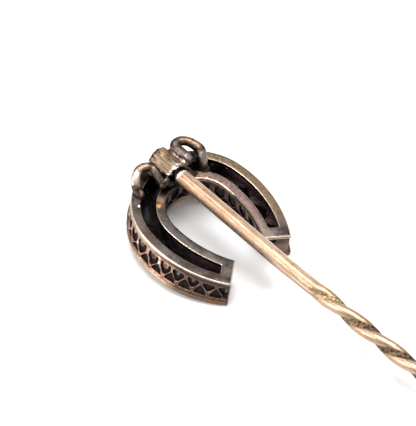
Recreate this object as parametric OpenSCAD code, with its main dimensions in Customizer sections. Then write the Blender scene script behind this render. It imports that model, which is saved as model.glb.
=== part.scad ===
// Stick pin with an open-backed horseshoe head. Head frame: X across the head, Y towards its
// toe, Z out of its back plate, whose back face is z = 0. place() tips that frame over onto
// its two heels and the point of the stem, which is how the pin lies on a table, face down.

/* [Head] */
// radius of the round toe, outer edge of the back plate
toe_r = 5.72; // [5.6:0.01:5.85]
// radius of the long side arcs, outer edge
side_r = 11.07; // [10.9:0.01:11.3]
// turn at which the toe arc runs into the side arc, outer edge
toe_turn = 81.7; // [81:0.1:82.5]
// radius of the round toe, inner edge
hole_r = 2.94; // [2.85:0.01:3.05]
// radius of the long side arcs, inner edge
hole_side_r = 10.82; // [10.7:0.01:11]
// turn at which the inner toe arc runs into its side arc
hole_turn = 86.8; // [86:0.1:87.5]
// slant of the cut heels
heel_slant = 36.4; // [34:0.1:39]
// where the line of the cut heels crosses the middle
heel_y = -3.0; // [-3.2:0.01:-2.8]
// depth of the head from back face to front face
head_h = 2.95; // [2.8:0.01:3.1]

/* [Back plate] */
// thickness of the back plate
plate_t = 0.4; // [0.3:0.01:0.5]
// width of the outer and the inner rail
rail_w = 0.83; // [0.7:0.01:0.9]
// length of the closed heels
heel_w = 1.02; // [0.9:0.01:1.2]

/* [Gallery] */
// thickness of the pierced walls
wall_t = 0.32; // [0.28:0.01:0.4]
// how far the walls stand in from the plate's edge
wall_in = 0.07; // [0.05:0.01:0.12]
// pitch of the struts along the outer wall
strut_pitch = 1.37; // [1.33:0.01:1.4]
// pitch of the struts along the inner wall
inner_pitch = 1.24; // [1.2:0.01:1.26]
// width of a strut
strut_w = 0.2; // [0.16:0.01:0.26]
// pitches on each side of the toe, outer wall
outer_n = 11; // [11:1:11]
// pitches on each side of the toe, inner wall
inner_n = 8; // [8:1:8]

/* [Front] */
// thickness of the front plate that holds the stones
front_t = 0.42; // [0.4:0.01:0.5]
// how far the front rim stands out past the back plate
rim_out = 0.32; // [0.2:0.01:0.4]
// radius of the stone at the toe
stone_r = 1.14; // [1.05:0.01:1.16]
// how much smaller the last stone of each limb is, as a radius
stone_drop = 0.28; // [0.24:0.01:0.34]
// metal between two stones
stone_gap = 0.36; // [0.3:0.01:0.38]
// gap all round a stone
seat_gap = 0.04; // [0.03:0.005:0.06]

/* [Tube and loops] */
// outer radius of the tube that holds the stem
tube_r = 0.95; // [0.9:0.01:1]
// length of the tube, on its longer side
tube_len = 3; // [2.9:0.05:3]
// slant of the tube's mouth
mouth_slant = 17; // [13:1:21]
// distance of the tube's mouth from the head's middle
tube_y = 4.35; // [4.3:0.01:4.45]
// distance of the tube from the middle plane, sideways
tube_x = 0.39; // [0.34:0.01:0.45]
// height of the stem's axis over the back face
axis_z = 1.05; // [1.0:0.01:1.1]
// radius of the loop wire
loop_r = 0.38; // [0.34:0.01:0.4]

/* [Stem] */
// radius of the stem at the head
stem_r = 0.67; // [0.62:0.01:0.67]
// radius of the plain shank below the twist
shank_r = 0.52; // [0.48:0.01:0.54]
// gap between the stem and the bore of the tube
bore_gap = 0.06; // [0.04:0.01:0.08]
// where the stem bends slightly, measured from the head's middle
bend_y = -7.4; // [-7.8:0.1:-7]
// length of round stem between the bend and the twist
plain_len = 3.4; // [3:0.1:3.8]
// length of one full turn of the twist
turn_len = 7.45; // [7.2:0.05:7.8]
// number of full turns
turns = 2; // [2:1:2]
// radius of each of the two lobes of the twisted stretch
lobe_r = 0.52; // [0.48:0.01:0.53]
// distance of a lobe from the axis
lobe_off = 0.23; // [0.2:0.01:0.25]
// length of the plain shank
shank_len = 17; // [15:0.5:18]
// length of the point
point_len = 9.4; // [9:0.1:10]
// radius of the blunt tip
tip_r = 0.09; // [0.08:0.01:0.12]

/* [Hidden] */
$fn = 64;
rad = 180 / PI;
yo = 1.71;              // middle of the outer toe arc
yi = 1.43;              // middle of the inner toe arc
zf = -head_h;           // front face

// middle of a side arc, seen from its toe arc
function side_c(y0, rt, rs, tn) = [(rt - rs) * sin(tn), y0 + (rt - rs) * cos(tn)];
// a point at distance s from the toe along toe arc and side arc: [x, y, turn]
function along(s, y0, rt, rs, tn) =
    s * rad / rt <= tn
    ? let (t = s * rad / rt) [rt * sin(t), y0 + rt * cos(t), t]
    : let (t = tn + (s - rt * tn / rad) * rad / rs, c = side_c(y0, rt, rs, tn))
      [c[0] + rs * sin(t), c[1] + rs * cos(t), t];

oc = side_c(yo, toe_r, side_r, toe_turn);
ic = side_c(yi, hole_r, hole_side_r, hole_turn);
half_w = oc[0] + side_r + rim_out;

// the heel corner of the front rim: where the side arc meets the line of the cut heel
function heel_pt(r, k = 0, t = 126.5) =
    k > 8 ? [oc[0] + r * sin(t), oc[1] + r * cos(t)]
    : let (p = [oc[0] + r * sin(t), oc[1] + r * cos(t)],
           d = (p[1] - heel_y) * cos(heel_slant) + p[0] * sin(heel_slant))
      heel_pt(r, k + 1, t + d / r * rad);
corner = heel_pt(side_r + rim_out);

// stem: yaw of the first stretch, and slopes of the second one
yaw = 0.85;
out_slope = 0.033;
up_slope = 0.026;
bend_x = tube_x + (tube_y - bend_y) * tan(yaw);
second = [out_slope, -1, up_slope] / norm([out_slope, -1, up_slope]);
second_len = plain_len + turns * turn_len + shank_len + point_len;
bend = [bend_x, bend_y, axis_z];
tip = bend + second * second_len;

// tilt at which heels and tip both touch the table
fall = corner[1] - tip[1];
rise = tip[2] - zf;
tilt = atan2(rise, fall) - asin(tip_r / sqrt(fall * fall + rise * rise));
lift = -(corner[1] * sin(tilt) + zf * cos(tilt));
top_y = (yo + toe_r + rim_out) * cos(tilt) - zf * sin(tilt);
end_y = tip[1] * cos(tilt) - tip[2] * sin(tilt);

module place() translate([0, -(top_y + end_y) / 2, lift]) rotate([tilt, 0, 0]) children();

// round toe and two side arcs, as one region
module region(y0, rt, rs, tn) {
    c = side_c(y0, rt, rs, tn);
    cut = y0 + rt * cos(tn);
    intersection() {
        translate([0, y0]) circle(r = rt);
        translate([-20, cut]) square([40, 20]);
    }
    intersection() {
        translate([c[0], c[1]]) circle(r = rs);
        translate([-c[0], c[1]]) circle(r = rs);
        translate([-20, cut - 20]) square([40, 20]);
    }
}
module below_heels(inset) {
    s = tan(heel_slant);
    up = inset / cos(heel_slant);
    polygon([[0, heel_y + up], [9, heel_y + up - 9 * s], [9, -14], [-9, -14], [-9, heel_y + up - 9 * s]]);
}
// the horseshoe band: grown by go outside and gi inside, cut back by inset at the heels
module band(go, gi, inset) difference() {
    region(yo, toe_r + go, side_r + go, toe_turn);
    region(yi, hole_r - gi, hole_side_r - gi, hole_turn);
    below_heels(inset);
}

// one lattice cell: the arch over the front rim, and the opening under the back plate
// with a blunt tongue hanging into it
cell_lo = [[-0.5, 0], [0.5, 0], [0.07, 1], [-0.07, 1]];
cell_hi = [[-0.5, 0], [-0.22, 0], [-0.14, 0.32], [0.14, 0.32], [0.22, 0], [0.5, 0], [0.05, 1], [-0.05, 1]];
z_lo = zf + front_t + 0.04;
z_hi = -plate_t - 0.06;
lo_h = 1.2;
hi_h = 1.55;

// side is 1 where the wall lies inside its edge line and -1 where it lies outside
module cell(p, low, w, side) translate([p[0], p[1], 0]) rotate([0, 0, -p[2]]) rotate([side * 90, 0, 0]) mirror([0, side > 0 ? 0 : 1, 0])
    translate([0, 0, -0.1]) linear_extrude(height = wall_t + wall_in + 0.2)
        polygon(low ? [for (v = cell_lo) [v[0] * w, z_lo + v[1] * lo_h]]
                    : [for (v = cell_hi) [v[0] * w, z_hi - v[1] * hi_h]]);

// cells on both limbs: an arch between two feet, an upper opening over each foot
module cells(y0, rt, rs, tn, pitch, n, side) {
    w = pitch - strut_w;
    for (i = [0:n - 1]) for (m = [1, -1]) {
        a = along((i + 0.5) * pitch, y0, rt, rs, tn);
        b = along((i + 1) * pitch, y0, rt, rs, tn);
        cell([a[0] * m, a[1], a[2] * m], true, w, side);
        cell([b[0] * m, b[1], b[2] * m], false, w, side);
    }
    cell(along(0, y0, rt, rs, tn), false, w, side);
}

// stones: distance along the middle line, found from radius to radius
cy = (yo + yi) / 2 + 0.06;
cr = (toe_r + hole_r) / 2 + 0.1;
cs = (side_r + hole_side_r) / 2 + 0.1;
ct = (toe_turn + hole_turn) / 2;
stone_n = 5;            // stones on each limb, besides the one at the toe
function st_r(i) = stone_r - stone_drop * i / stone_n;
function st_s(i) = i == 0 ? 0 : st_s(i - 1) + st_r(i - 1) + st_r(i) + stone_gap;
function st_p(i) = let (p = along(st_s(abs(i)), cy, cr, cs, ct)) [p[0] * sign(i), p[1], 0];
girdle_z = zf + 0.26;

module gem(r) translate([0, 0, girdle_z]) {
    translate([0, 0, -0.22]) cylinder(h = 0.22, r1 = r * 0.58, r2 = r);
    cylinder(h = 0.06, r = r);
    translate([0, 0, 0.06]) cylinder(h = r * 0.84, r1 = r, r2 = 0.02);
}
module seat(r) translate([0, 0, girdle_z]) {
    translate([0, 0, -0.5]) cylinder(h = 0.6, r = r + seat_gap);
    translate([0, 0, 0.0999]) cylinder(h = r * 0.84, r1 = r + seat_gap, r2 = 0.02 + seat_gap);
}

// half of the section of the twisted stretch: one lobe, from waist to waist
twist_half = [for (a = [-60, -20, 20, 60]) [lobe_off + lobe_r * cos(a), lobe_r * sin(a)]];

// stem frame: origin at the tube's mouth, Z towards the bend
module first_axis() translate([tube_x, tube_y, axis_z]) rotate([0, 0, yaw]) rotate([90, 0, 0]) children();
module second_axis() translate(bend)
    rotate([0, acos(second[2]), atan2(second[1], second[0])]) children();

// a wire bent in a circle's arc from p through q to t
module hoop(p, q, t, r) {
    a = q - p;
    b = t - p;
    n = cross(a, b);
    c = p + (cross(n, a) * (b * b) + cross(b, n) * (a * a)) / (2 * (n * n));
    u = (p - c) / norm(p - c);
    w = n / norm(n);
    v = cross(w, u);
    turn = atan2((t - c) * v, (t - c) * u);
    multmatrix([[u[0], v[0], w[0], c[0]], [u[1], v[1], w[1], c[1]], [u[2], v[2], w[2], c[2]], [0, 0, 0, 1]])
        rotate_extrude(angle = turn < 0 ? turn + 360 : turn) translate([norm(p - c), 0]) circle(r = r);
}
// each loop: its end at the tube, its middle, its foot on the rail
right_loop = [[1.6, 4.9, 0.95], [2.75, 6.65, 1.5], [3.05, 4.25, -0.1]];
left_loop = [[-0.6, 5.75, 0.75], [-1.95, 6.9, 1.22], [-3.05, 5.4, -0.1]];

module setting() color([0.52, 0.46, 0.4]) place() difference() {
    union() {
        // back plate: two rails joined at closed heels
        translate([0, 0, -plate_t]) linear_extrude(height = plate_t) difference() {
            band(0, 0, 0);
            band(-rail_w, -rail_w, heel_w);
        }
        // pierced outer and inner walls with plain heel ends
        difference() {
            translate([0, 0, zf + 0.1]) linear_extrude(height = head_h - 0.2) difference() {
                band(-wall_in, -wall_in, wall_in);
                band(-wall_in - wall_t, -wall_in - wall_t, wall_in + wall_t);
            }
            cells(yo, toe_r, side_r, toe_turn, strut_pitch, outer_n, 1);
            cells(yi, hole_r, hole_side_r, hole_turn, inner_pitch, inner_n, -1);
        }
        // front plate with its rim
        translate([0, 0, zf]) linear_extrude(height = front_t) band(rim_out, 0, 0);
        // tube with its solder, and the two loops
        first_axis() difference() {
            translate([0, 0, -tube_len]) cylinder(h = tube_len, r = tube_r);
            translate([tube_r, 0, 0]) rotate([0, -mouth_slant, 0]) translate([-4, -2, 0]) cube([8, 4, 3]);
        }
        first_axis() translate([-0.55, -axis_z - 0.1, -tube_len + 0.1]) cube([1.1, 0.6, tube_len - 0.5]);
        hoop(right_loop[0], right_loop[1], right_loop[2], loop_r);
        hoop(left_loop[0], left_loop[1], left_loop[2], loop_r);
        // bridges under the tube and the right foot, over the slot
        translate([-0.9, 4.4, -plate_t]) cube([2.8, 2.6, plate_t]);
        translate([2.7, 3.6, -plate_t]) cylinder(h = plate_t + 0.1, r = 0.7);
    }
    // bore for the stem, open at the mouth
    first_axis() translate([0, 0, -tube_len + 0.3]) cylinder(h = tube_len + 1, r = stem_r + bore_gap);
    // stone seats
    for (i = [-stone_n:stone_n]) translate(st_p(i)) seat(st_r(abs(i)));
    // small round hole in the right heel wall
    translate([2.47, -4.82, -0.72]) rotate([0, 0, -heel_slant]) rotate([90, 0, 0]) translate([0, 0, -0.6]) cylinder(h = 1, r = 0.2);
}

module stem() color([0.86, 0.68, 0.55]) place() {
    first_axis() translate([0, 0, -tube_len + 0.45]) cylinder(h = (tube_y - bend_y) / cos(yaw) + tube_len - 0.45, r = stem_r);
    second_axis() {
        translate([0, 0, -0.12]) cylinder(h = plain_len + 0.12, r = stem_r - 0.015);
        translate([0, 0, plain_len]) linear_extrude(height = turns * turn_len, twist = 360 * turns, slices = 48, $fn = 16)
            polygon([for (v = twist_half) v * 1, for (v = twist_half) v * -1]);
        translate([0, 0, plain_len + turns * turn_len]) {
            cylinder(h = shank_len, r = shank_r);
            translate([0, 0, shank_len]) cylinder(h = point_len, r1 = shank_r, r2 = tip_r);
        }
    }
}

module stone(i) color([0.25, 0.04, 0.07]) place() translate(st_p(i)) gem(st_r(abs(i)));
module stone_1() stone(-5);
module stone_2() stone(-4);
module stone_3() stone(-3);
module stone_4() stone(-2);
module stone_5() stone(-1);
module stone_6() stone(0);
module stone_7() stone(1);
module stone_8() stone(2);
module stone_9() stone(3);
module stone_10() stone(4);
module stone_11() stone(5);

setting();
stem();
stone_1();
stone_2();
stone_3();
stone_4();
stone_5();
stone_6();
stone_7();
stone_8();
stone_9();
stone_10();
stone_11();
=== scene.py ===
import math

import bmesh
import bpy
import numpy as np
from mathutils import Matrix, Vector
from mathutils.geometry import delaunay_2d_cdt


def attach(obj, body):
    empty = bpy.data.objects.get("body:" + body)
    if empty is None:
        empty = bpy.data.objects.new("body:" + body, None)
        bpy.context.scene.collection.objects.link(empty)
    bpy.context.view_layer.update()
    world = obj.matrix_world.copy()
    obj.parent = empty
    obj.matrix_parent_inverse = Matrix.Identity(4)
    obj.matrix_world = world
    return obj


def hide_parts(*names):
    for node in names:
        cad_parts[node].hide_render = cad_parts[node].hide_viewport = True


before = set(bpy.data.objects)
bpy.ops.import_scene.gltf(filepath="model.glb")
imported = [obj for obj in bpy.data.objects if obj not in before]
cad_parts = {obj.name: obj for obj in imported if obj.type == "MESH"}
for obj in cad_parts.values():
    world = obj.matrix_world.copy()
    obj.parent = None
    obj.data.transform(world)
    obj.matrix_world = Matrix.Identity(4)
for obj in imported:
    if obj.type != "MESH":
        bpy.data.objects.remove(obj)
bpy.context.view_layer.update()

rng = np.random.default_rng(7)
d2r = math.radians

# ---------------------------------------------------------------- sizes, as in the CAD (mm)
TOE_R, SIDE_R, TOE_T = 5.72, 11.07, 81.7
HOLE_R, HOLE_SR, HOLE_T = 2.94, 10.82, 86.8
YO, YI = 1.71, 1.43
SLANT, HEEL_Y = 36.4, -3.0
HEAD_H, PLATE_T, RAIL_W, HEEL_W = 2.95, 0.4, 0.83, 1.02
WALL_T, WALL_IN, FRONT_T, RIM_OUT = 0.32, 0.07, 0.42, 0.32
PITCH, PITCH_IN = 1.37, 1.24
TUBE_R, TUBE_LEN, TUBE_Y, TUBE_X, AXIS_Z = 0.95, 3.0, 4.35, 0.39, 1.05
STEM_R, SHANK_R, TIP_R = 0.67, 0.52, 0.09
BEND_Y, PLAIN, TURN_LEN, TURNS, SHANK, POINT = -7.4, 3.4, 7.45, 2, 17.0, 9.4
LOBE_R, LOBE_OFF = 0.52, 0.23
YAW, OUT_SL, UP_SL = 0.85, 0.033, 0.026
ZF = -HEAD_H


def side_c(y0, rt, rs, tn):
    return (rt - rs) * math.sin(d2r(tn)), y0 + (rt - rs) * math.cos(d2r(tn))


OUTER = (YO, TOE_R, SIDE_R, TOE_T)
INNER = (YI, HOLE_R, HOLE_SR, HOLE_T)


def along(s, curve, off=0.0):
    """Point at arc length s from the toe (negative on the left limb), off outwards, and its turn."""
    y0, rt, rs, tn = curve
    sg = -1.0 if s < 0 else 1.0
    a = abs(s)
    if a / rt <= d2r(tn):
        t = a / rt
        x, y = (rt + off) * math.sin(t), y0 + (rt + off) * math.cos(t)
    else:
        t = d2r(tn) + (a - rt * d2r(tn)) / rs
        cx, cy = side_c(y0, rt, rs, tn)
        x, y = cx + (rs + off) * math.sin(t), cy + (rs + off) * math.cos(t)
    return sg * x, y, sg * t


def heel_cut(x, y):
    return (y - HEEL_Y) * math.cos(d2r(SLANT)) + abs(x) * math.sin(d2r(SLANT))


def s_end(curve, off, inset):
    lo, hi = 5.0, 25.0
    for _ in range(50):
        m = (lo + hi) / 2
        o = off(m) if callable(off) else off
        x, y, _t = along(m, curve, o)
        if heel_cut(x, y) > inset:
            lo = m
        else:
            hi = m
    return lo


# the part's place in the row frame
_ocx, _ocy = side_c(*OUTER)
_t = 126.5
for _k in range(12):
    _p = (_ocx + (SIDE_R + RIM_OUT) * math.sin(d2r(_t)), _ocy + (SIDE_R + RIM_OUT) * math.cos(d2r(_t)))
    _t += math.degrees(heel_cut(*_p) / (SIDE_R + RIM_OUT))
CORNER = _p
BEND = Vector((TUBE_X + (TUBE_Y - BEND_Y) * math.tan(d2r(YAW)), BEND_Y, AXIS_Z))
SECOND = Vector((OUT_SL, -1.0, UP_SL)).normalized()
TIP = BEND + SECOND * (PLAIN + TURNS * TURN_LEN + SHANK + POINT)
_fall, _rise = CORNER[1] - TIP.y, TIP.z - ZF
TILT = math.atan2(_rise, _fall) - math.asin(TIP_R / math.hypot(_fall, _rise))
LIFT = -(CORNER[1] * math.sin(TILT) + ZF * math.cos(TILT))
_top = (YO + TOE_R + RIM_OUT) * math.cos(TILT) - ZF * math.sin(TILT)
_end = TIP.y * math.cos(TILT) - TIP.z * math.sin(TILT)
OFF = Vector((0, -(_top + _end) / 2, LIFT))
PLACE = Matrix.Scale(0.001, 4) @ Matrix.Translation(OFF) @ Matrix.Rotation(TILT, 4, "X")

# camera, in the head's own frame: turned by a about Z and tipped to the elevation e
CA, CE, CT, DIST = 0.789, 0.885, 0.125, 150.0
_V = Matrix(((1, 0, 0), (0, math.sin(CE), math.cos(CE)), (0, -math.cos(CE), math.sin(CE))))
CAM_R = _V @ Matrix.Rotation(CA, 3, "Z") @ Matrix.Rotation(CT, 3, "X")


def unproject(u, v, z=0.0, n=Vector((0, 0, 1))):
    """Point of the plane n.p = z, in the head frame, that shows at pixel (u, v)."""
    ray = CAM_R.transposed() @ Vector(((u - 213.173) / 1800.0, -(v - 217.752) / 1800.0, -1.0))
    eye = CAM_R.transposed() @ Vector((0, 0, DIST))
    return eye + ray * ((z - n.dot(eye)) / n.dot(ray))


# ---------------------------------------------------------------- meshes
def make(name, verts, faces, mats, smooth=40.0, wear=None, mat_ids=None, place=True, painted_light=None):
    me = bpy.data.meshes.new(name)
    me.from_pydata([tuple(v) for v in verts], [], [tuple(f) for f in faces])
    if wear is not None:
        at = me.attributes.new("wear", "FLOAT", "POINT")
        at.data.foreach_set("value", np.asarray(wear, np.float32))
    if painted_light is not None:
        at = me.attributes.new("painted_light", "FLOAT", "POINT")
        at.data.foreach_set("value", np.asarray(painted_light, np.float32))
    if mat_ids is not None:
        me.polygons.foreach_set("material_index", np.asarray(mat_ids, np.int32))
    if place:
        me.transform(PLACE)
    bm = bmesh.new()
    bm.from_mesh(me)
    bmesh.ops.remove_doubles(bm, verts=bm.verts, dist=1e-8 if place else 1e-5)
    bmesh.ops.recalc_face_normals(bm, faces=bm.faces)
    bm.to_mesh(me)
    bm.free()
    me.polygons.foreach_set("use_smooth", np.ones(len(me.polygons), bool))
    me.set_sharp_from_angle(angle=d2r(smooth))
    for m in mats:
        me.materials.append(m)
    ob = bpy.data.objects.new(name, me)
    bpy.context.scene.collection.objects.link(ob)
    if place:
        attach(ob, "root")
    return ob


def inside(loops, p):
    """Even-odd test of points p (n, 2) against closed loops."""
    hit = np.zeros(len(p), bool)
    for lp in loops:
        a = np.asarray(lp, float)
        b = np.roll(a, -1, 0)
        for (x1, y1), (x2, y2) in zip(a, b):
            if y1 == y2:
                continue
            c = ((y1 > p[:, 1]) != (y2 > p[:, 1])) & (p[:, 0] < (x2 - x1) * (p[:, 1] - y1) / (y2 - y1) + x1)
            hit ^= c
    return hit


def tri2d(loops, fill=None):
    pts, edges = [], []
    for lp in loops:
        n0 = len(pts)
        pts += [(float(q[0]), float(q[1])) for q in lp]
        edges += [(n0 + i, n0 + (i + 1) % len(lp)) for i in range(len(lp))]
    if fill is not None:
        pts += [(float(q[0]), float(q[1])) for q in fill]
    out = delaunay_2d_cdt([Vector(q) for q in pts], edges, [], 0, 1e-7)
    back = [o[0] if o else None for o in out[3]]
    co = np.array([tuple(v) for v in out[0]])
    fs = np.array([f for f in out[2]])
    keep = inside(loops, co[fs].mean(1))
    return [[back[i] for i in f] for f, k in zip(fs, keep) if k and None not in [back[i] for i in f]]


def normals2d(lp):
    """Unit normals of a closed loop's points, out of the material on the loop's left side."""
    a = np.asarray(lp, float)
    e = np.roll(a, -1, 0) - a
    e /= np.maximum(np.linalg.norm(e, axis=1, keepdims=True), 1e-9)
    n = np.stack([e[:, 1], -e[:, 0]], 1)
    m = n + np.roll(n, 1, 0)
    k = np.linalg.norm(m, axis=1, keepdims=True)
    m /= np.maximum(k, 1e-9)
    c = np.maximum((m * n).sum(1, keepdims=True), 0.45)
    return m / c


def slab(loops, profiles, fn, fill=None, ids=(0, 0, 0)):
    """Solid between two flat faces, its side walls shaped by a profile of (out, depth, wear).
    The first loop runs counter-clockwise and the holes clockwise. fn maps (x, y, depth) to space.
    Returns verts, faces, wear, material ids (top, side, bottom)."""
    V, F, W, M = [], [], [], []
    tops, bots = [], []
    for lp, prof in zip(loops, profiles):
        a = np.asarray(lp, float)
        n = normals2d(a)
        start = len(V)
        for off, dep, wr in prof:
            for q, m in zip(a, n):
                V.append(fn(q[0] + m[0] * off, q[1] + m[1] * off, dep))
                W.append(wr)
        k = len(a)
        for r in range(len(prof) - 1):
            for i in range(k):
                j = (i + 1) % k
                F.append((start + r * k + i, start + r * k + j, start + (r + 1) * k + j, start + (r + 1) * k + i))
                M.append(ids[1])
        tops.append((start, a + n * prof[0][0], prof[0]))
        bots.append((start + (len(prof) - 1) * k, a + n * prof[-1][0], prof[-1]))
    for which, mid in ((tops, ids[0]), (bots, ids[2])):
        idx = []
        for st, a, _pr in which:
            idx += list(range(st, st + len(a)))
        if fill is not None:
            ok = inside([a for _s, a, _p in which], np.asarray(fill, float))
            extra = np.asarray(fill, float)[ok]
            far = np.ones(len(extra), bool)
            for _s, a, _p in which:
                for i in range(0, len(extra), 400):
                    dd = ((extra[i:i + 400, None, :] - a[None]) ** 2).sum(2).min(1)
                    far[i:i + 400] &= dd > 0.05 ** 2
            extra = extra[far]
            dep = which[0][2][1]
            for q in extra:
                idx.append(len(V))
                V.append(fn(q[0], q[1], dep))
                W.append(which[0][2][2])
        else:
            extra = None
        for t in tri2d([a for _s, a, _p in which], extra):
            F.append(tuple(idx[i] for i in t))
            M.append(mid)
    return V, F, W, M


def resample(pts, step):
    """Closed polyline with its long edges cut up to about one step."""
    out = []
    a = np.asarray(pts, float)
    for p, q in zip(a, np.roll(a, -1, 0)):
        n = max(1, int(round(np.linalg.norm(q - p) / step)))
        for i in range(n):
            out.append(p + (q - p) * i / n)
    return np.array(out)


# how far the front rim stands out past the back plate, by distance from the toe
FLARE_S = [0.0, 2.5, 5.35, 7.8, 9.95, 12.1, 14.6, 16.65, 18.0]
FLARE_O = [0.12, 0.14, 0.2, 0.39, 0.54, 0.6, 0.44, 0.23, 0.18]


def flare(s):
    return float(np.interp(abs(s), FLARE_S, FLARE_O))


def flare_in(s):
    """The gap widens towards the front as well, near the heels."""
    return float(np.interp(abs(s), [0.0, 3.0, 5.0, 8.0, 11.0], [0.0, 0.0, 0.14, 0.36, 0.5]))


def band_loop(fo, fi, inset, step=0.14, corner=0.0):
    """Counter-clockwise outline of the horseshoe band. fo and fi are offsets outwards of the outer
    and the inner edge; a number or a function of the arc length."""
    so, si = s_end(OUTER, fo, inset), s_end(INNER, fi, inset)
    n = int(2 * so / step)
    o = []
    for s in np.linspace(so, -so, n):
        x, y, _t = along(s, OUTER, fo(s) if callable(fo) else fo)
        o.append((x, y))
    m = int(2 * si / step)
    i = []
    for s in np.linspace(-si, si, m):
        x, y, _t = along(s, INNER, fi(s) if callable(fi) else fi)
        i.append((x, y))
    left = [tuple(np.array(o[-1]) + (np.array(i[0]) - np.array(o[-1])) * k / 12) for k in range(1, 12)]
    right = [tuple(np.array(i[-1]) + (np.array(o[0]) - np.array(i[-1])) * k / 12) for k in range(1, 12)]
    lp = o + left + i + right
    if corner:
        lp = round_corners(lp, corner)
    return lp


def round_corners(lp, r):
    """Softens sharp corners by averaging nearby points, r in mm."""
    a = resample(lp, 0.05)
    k = max(1, int(r / 0.05))
    acc = np.zeros_like(a)
    w = 0
    for j in range(-k, k + 1):
        acc += np.roll(a, j, 0)
        w += 1
    b = acc / w
    # keep every other point
    return [tuple(q) for q in b[::2]]


# ---------------------------------------------------------------- materials
def lin(*c):
    return tuple(((x / 255) / 12.92 if x / 255 <= 0.04045 else ((x / 255 + 0.055) / 1.055) ** 2.4) for x in c)


class Nodes:
    def __init__(self, name):
        self.mat = bpy.data.materials.new(name)
        self.mat.use_nodes = True
        self.t = self.mat.node_tree
        self.t.nodes.clear()
        self.out = self.t.nodes.new("ShaderNodeOutputMaterial")
        self.bsdf = self.t.nodes.new("ShaderNodeBsdfPrincipled")
        self.t.links.new(self.bsdf.outputs[0], self.out.inputs[0])
        tc = self.t.nodes.new("ShaderNodeTexCoord")
        mp = self.t.nodes.new("ShaderNodeMapping")
        mp.inputs["Scale"].default_value = (1000, 1000, 1000)
        mp.inputs["Rotation"].default_value = (-TILT, 0, 0)
        mp.inputs["Location"].default_value = -(Matrix.Rotation(-TILT, 3, "X") @ OFF)
        self.link(tc.outputs["Object"], mp.inputs["Vector"])
        self.p = mp.outputs[0]      # millimetres in the head's own frame
        self.xyz = self.t.nodes.new("ShaderNodeSeparateXYZ")
        self.link(self.p, self.xyz.inputs[0])

    def link(self, a, b):
        self.t.links.new(a, b)

    def put(self, sock, v):
        if isinstance(v, bpy.types.NodeSocket):
            self.link(v, sock)
        elif isinstance(v, (tuple, list)) and sock.type == "RGBA" and len(v) == 3:
            sock.default_value = (*v, 1)
        else:
            sock.default_value = v

    def math(self, op, a, b=0.0, c=None, clamp=False):
        n = self.t.nodes.new("ShaderNodeMath")
        n.operation = op
        n.use_clamp = clamp
        self.put(n.inputs[0], a)
        self.put(n.inputs[1], b)
        if c is not None:
            self.put(n.inputs[2], c)
        return n.outputs[0]

    def noise(self, scale, detail=3.0, rough=0.55, vec=None, dist=0.0, off=None):
        n = self.t.nodes.new("ShaderNodeTexNoise")
        n.inputs["Scale"].default_value = scale
        n.inputs["Detail"].default_value = detail
        n.inputs["Roughness"].default_value = rough
        n.inputs["Distortion"].default_value = dist
        v = vec or self.p
        if off is not None:
            a = self.t.nodes.new("ShaderNodeVectorMath")
            a.operation = "ADD"
            self.link(v, a.inputs[0])
            a.inputs[1].default_value = off
            v = a.outputs[0]
        self.link(v, n.inputs["Vector"])
        return n.outputs["Fac"]

    def ramp(self, v, lo, hi, a=0.0, b=1.0, smooth=True):
        n = self.t.nodes.new("ShaderNodeMapRange")
        n.interpolation_type = "SMOOTHSTEP" if smooth else "LINEAR"
        self.put(n.inputs["Value"], v)
        n.inputs["From Min"].default_value = lo
        n.inputs["From Max"].default_value = hi
        n.inputs["To Min"].default_value = a
        n.inputs["To Max"].default_value = b
        return n.outputs["Result"]

    def mix(self, f, a, b):
        n = self.t.nodes.new("ShaderNodeMix")
        n.data_type = "RGBA"
        self.put(n.inputs[0], f)
        self.put(n.inputs[6], a)
        self.put(n.inputs[7], b)
        return n.outputs[2]

    def spot(self, c, r, soft=0.6, breakup=0.5, scale=3.0):
        """Patch round a point of the head frame, broken up by noise."""
        n = self.t.nodes.new("ShaderNodeVectorMath")
        n.operation = "DISTANCE"
        self.link(self.p, n.inputs[0])
        n.inputs[1].default_value = tuple(c)
        d = self.math("ADD", n.outputs["Value"], self.math("MULTIPLY", self.math("SUBTRACT", self.noise(scale, 3, off=(c[0], 5.0, 1.0)), 0.5), breakup * 4 * r))
        return self.ramp(d, r * soft, r * 1.25, 1.0, 0.0)

    def attr(self, name):
        n = self.t.nodes.new("ShaderNodeAttribute")
        n.attribute_name = name
        return n.outputs["Fac"]

    def bump(self, h, strength, dist, normal=None):
        n = self.t.nodes.new("ShaderNodeBump")
        n.inputs["Strength"].default_value = strength
        n.inputs["Distance"].default_value = dist
        self.link(h, n.inputs["Height"])
        if normal is not None:
            self.link(normal, n.inputs["Normal"])
        return n.outputs[0]


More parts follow.
